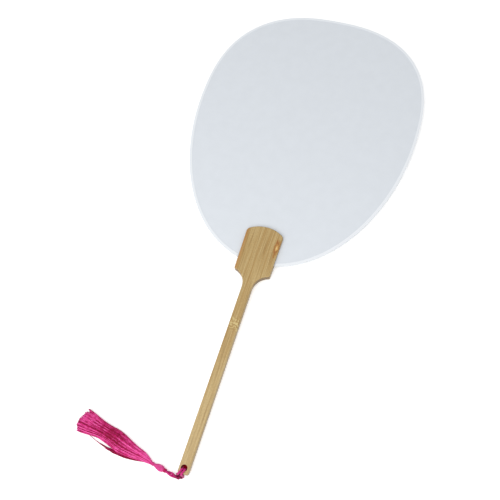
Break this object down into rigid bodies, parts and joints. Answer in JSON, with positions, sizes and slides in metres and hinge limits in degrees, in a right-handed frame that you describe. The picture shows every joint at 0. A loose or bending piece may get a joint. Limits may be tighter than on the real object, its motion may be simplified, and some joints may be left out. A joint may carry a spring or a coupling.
{
  "type": "hand fan",
  "caption": "Rigid egg-shaped paddle fan: a plain white leaf held in a slotted bamboo handle, with a cord and tassel hitched through the hang hole at its end.",
  "frame": {"origin": "centre of the box round the handle and the leaf, with the cord and the tassel left out", "axes": "+X across the fan, +Y up the handle to the crown of the leaf, +Z out of the front face, with the fan lying on its back"},
  "size_m": [0.1954, 0.4258, 0.01],
  "materials": {
    "bamboo": "planed bamboo, satin",
    "leaf_board": "pressed board",
    "leaf_paper": "smooth white paper",
    "binding_tape": "white paper tape",
    "magenta_cord": "twisted rayon cord, glossy",
    "tying_thread": "rayon thread, glossy",
    "tassel_floss": "rayon floss, glossy"
  },
  "bodies": {
    "fan": {"handle": "bamboo", "leaf_core": "leaf_board", "front_sheet": "leaf_paper", "back_sheet": "leaf_paper", "edge_binding": "binding_tape", "cord_hitch": "magenta_cord"},
    "cord_link": {"cord_legs": "magenta_cord"},
    "tassel": {"top_tie": "tying_thread", "tassel_head": "tassel_floss", "cord_knot": "magenta_cord", "neck_tie": "tying_thread", "tassel_skirt": "tassel_floss"}
  },
  "joints": [
    {"name": "cord_swing", "type": "hinge", "parent": "fan", "child": "cord_link", "pos_m": [-0.0025, -0.2143, -0.00155], "axis": [0, 0, 1], "range_deg": [-5, 175]},
    {"name": "tassel_lift", "type": "hinge", "parent": "cord_link", "child": "tassel", "pos_m": [-0.014, -0.2122, -0.0029], "axis": [0.1564, 0.9877, 0], "range_deg": [-90, 90]}
  ]
}
